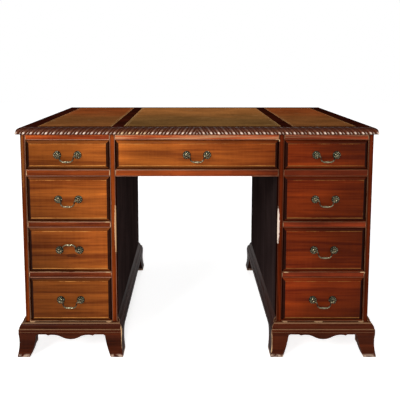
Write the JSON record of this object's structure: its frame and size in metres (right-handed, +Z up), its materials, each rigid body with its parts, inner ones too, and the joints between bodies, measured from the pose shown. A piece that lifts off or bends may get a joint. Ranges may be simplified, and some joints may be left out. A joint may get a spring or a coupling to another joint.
{
  "type": "pedestal desk",
  "caption": "Mahogany pedestal writing desk: leather-inlaid top with a carved edge, moulded drawers with swan-neck bail handles, an open kneehole and bracket feet.",
  "frame": {"origin": "On the floor, under the middle of the carcass", "axes": "+X to the sitter's right, +Y from the sitter towards the back, +Z up"},
  "size_m": [1.2218, 0.6109, 0.79],
  "materials": {
    "mahogany": "french polished",
    "drawer_mahogany": "french polished, striped grain",
    "dark_veneer": "french polished",
    "drawer_lining": "bare, sanded",
    "secondary_wood": "bare, sawn",
    "tooled_leather": "worn, waxed",
    "antique_brass": "aged, dark patina",
    "screw_steel": "dull"
  },
  "bodies": {
    "carcass": {"front_stiles": "mahogany", "outer_side_left": "mahogany", "outer_side_right": "mahogany", "kneehole_side_left": "mahogany", "kneehole_side_right": "mahogany", "pedestal_backs": "mahogany", "frieze_back": "mahogany", "kneehole_soffit": "mahogany", "frieze_rails": "mahogany", "drawer_rails": "mahogany", "cock_beads": "mahogany", "plinth_left": "mahogany", "plinth_right": "mahogany", "base_mouldings": "mahogany", "edge_mouldings": "mahogany", "bottom_boards": "secondary_wood", "drawer_runners": "secondary_wood", "kickers": "secondary_wood", "drawer_stops": "secondary_wood", "plinth_blocks": "secondary_wood", "top_board": "secondary_wood", "top_crossbanding": "dark_veneer", "leather_panels": "tooled_leather", "top_screws": "screw_steel"},
    "drawer_centre": {"drawer_centre_front": "drawer_mahogany", "drawer_centre_box": "drawer_lining", "drawer_centre_handle": "antique_brass"},
    "bail_centre": {"drawer_centre_bail": "antique_brass"},
    "drawer_left_1": {"drawer_left_1_front": "drawer_mahogany", "drawer_left_1_box": "drawer_lining", "drawer_left_1_handle": "antique_brass"},
    "bail_left_1": {"drawer_left_1_bail": "antique_brass"},
    "drawer_left_2": {"drawer_left_2_front": "drawer_mahogany", "drawer_left_2_box": "drawer_lining", "drawer_left_2_handle": "antique_brass"},
    "bail_left_2": {"drawer_left_2_bail": "antique_brass"},
    "drawer_left_3": {"drawer_left_3_front": "drawer_mahogany", "drawer_left_3_box": "drawer_lining", "drawer_left_3_handle": "antique_brass"},
    "bail_left_3": {"drawer_left_3_bail": "antique_brass"},
    "drawer_left_4": {"drawer_left_4_front": "drawer_mahogany", "drawer_left_4_box": "drawer_lining", "drawer_left_4_handle": "antique_brass"},
    "bail_left_4": {"drawer_left_4_bail": "antique_brass"},
    "drawer_right_1": {"drawer_right_1_front": "drawer_mahogany", "drawer_right_1_box": "drawer_lining", "drawer_right_1_handle": "antique_brass"},
    "bail_right_1": {"drawer_right_1_bail": "antique_brass"},
    "drawer_right_2": {"drawer_right_2_front": "drawer_mahogany", "drawer_right_2_box": "drawer_lining", "drawer_right_2_handle": "antique_brass"},
    "bail_right_2": {"drawer_right_2_bail": "antique_brass"},
    "drawer_right_3": {"drawer_right_3_front": "drawer_mahogany", "drawer_right_3_box": "drawer_lining", "drawer_right_3_handle": "antique_brass"},
    "bail_right_3": {"drawer_right_3_bail": "antique_brass"},
    "drawer_right_4": {"drawer_right_4_front": "drawer_mahogany", "drawer_right_4_box": "drawer_lining", "drawer_right_4_handle": "antique_brass"},
    "bail_right_4": {"drawer_right_4_bail": "antique_brass"}
  },
  "joints": [
    {"name": "drawer_centre_slide", "type": "slide", "parent": "carcass", "child": "drawer_centre", "axis": [0, -1, 0], "range_m": [0, 0.38]},
    {"name": "bail_centre_swing", "type": "hinge", "parent": "drawer_centre", "child": "bail_centre", "pos_m": [0, -0.297, 0.698], "axis": [-1, 0, 0], "range_deg": [-24, 204]},
    {"name": "drawer_left_1_slide", "type": "slide", "parent": "carcass", "child": "drawer_left_1", "axis": [0, -1, 0], "range_m": [0, 0.38]},
    {"name": "bail_left_1_swing", "type": "hinge", "parent": "drawer_left_1", "child": "bail_left_1", "pos_m": [-0.43075, -0.297, 0.698], "axis": [-1, 0, 0], "range_deg": [-24, 204]},
    {"name": "drawer_left_2_slide", "type": "slide", "parent": "carcass", "child": "drawer_left_2", "axis": [0, -1, 0], "range_m": [0, 0.38]},
    {"name": "bail_left_2_swing", "type": "hinge", "parent": "drawer_left_2", "child": "bail_left_2", "pos_m": [-0.43075, -0.297, 0.547], "axis": [-1, 0, 0], "range_deg": [-24, 204]},
    {"name": "drawer_left_3_slide", "type": "slide", "parent": "carcass", "child": "drawer_left_3", "axis": [0, -1, 0], "range_m": [0, 0.38]},
    {"name": "bail_left_3_swing", "type": "hinge", "parent": "drawer_left_3", "child": "bail_left_3", "pos_m": [-0.43075, -0.297, 0.371], "axis": [1, 0, 0], "range_deg": [0, 228]},
    {"name": "drawer_left_4_slide", "type": "slide", "parent": "carcass", "child": "drawer_left_4", "axis": [0, -1, 0], "range_m": [0, 0.38]},
    {"name": "bail_left_4_swing", "type": "hinge", "parent": "drawer_left_4", "child": "bail_left_4", "pos_m": [-0.43075, -0.297, 0.195], "axis": [-1, 0, 0], "range_deg": [-24, 204]},
    {"name": "drawer_right_1_slide", "type": "slide", "parent": "carcass", "child": "drawer_right_1", "axis": [0, -1, 0], "range_m": [0, 0.38]},
    {"name": "bail_right_1_swing", "type": "hinge", "parent": "drawer_right_1", "child": "bail_right_1", "pos_m": [0.43075, -0.297, 0.698], "axis": [-1, 0, 0], "range_deg": [-24, 204]},
    {"name": "drawer_right_2_slide", "type": "slide", "parent": "carcass", "child": "drawer_right_2", "axis": [0, -1, 0], "range_m": [0, 0.38]},
    {"name": "bail_right_2_swing", "type": "hinge", "parent": "drawer_right_2", "child": "bail_right_2", "pos_m": [0.43075, -0.297, 0.547], "axis": [-1, 0, 0], "range_deg": [-24, 204]},
    {"name": "drawer_right_3_slide", "type": "slide", "parent": "carcass", "child": "drawer_right_3", "axis": [0, -1, 0], "range_m": [0, 0.38]},
    {"name": "bail_right_3_swing", "type": "hinge", "parent": "drawer_right_3", "child": "bail_right_3", "pos_m": [0.43075, -0.297, 0.371], "axis": [-1, 0, 0], "range_deg": [-24, 204]},
    {"name": "drawer_right_4_slide", "type": "slide", "parent": "carcass", "child": "drawer_right_4", "axis": [0, -1, 0], "range_m": [0, 0.38]},
    {"name": "bail_right_4_swing", "type": "hinge", "parent": "drawer_right_4", "child": "bail_right_4", "pos_m": [0.43075, -0.297, 0.195], "axis": [-1, 0, 0], "range_deg": [-24, 204]}
  ]
}
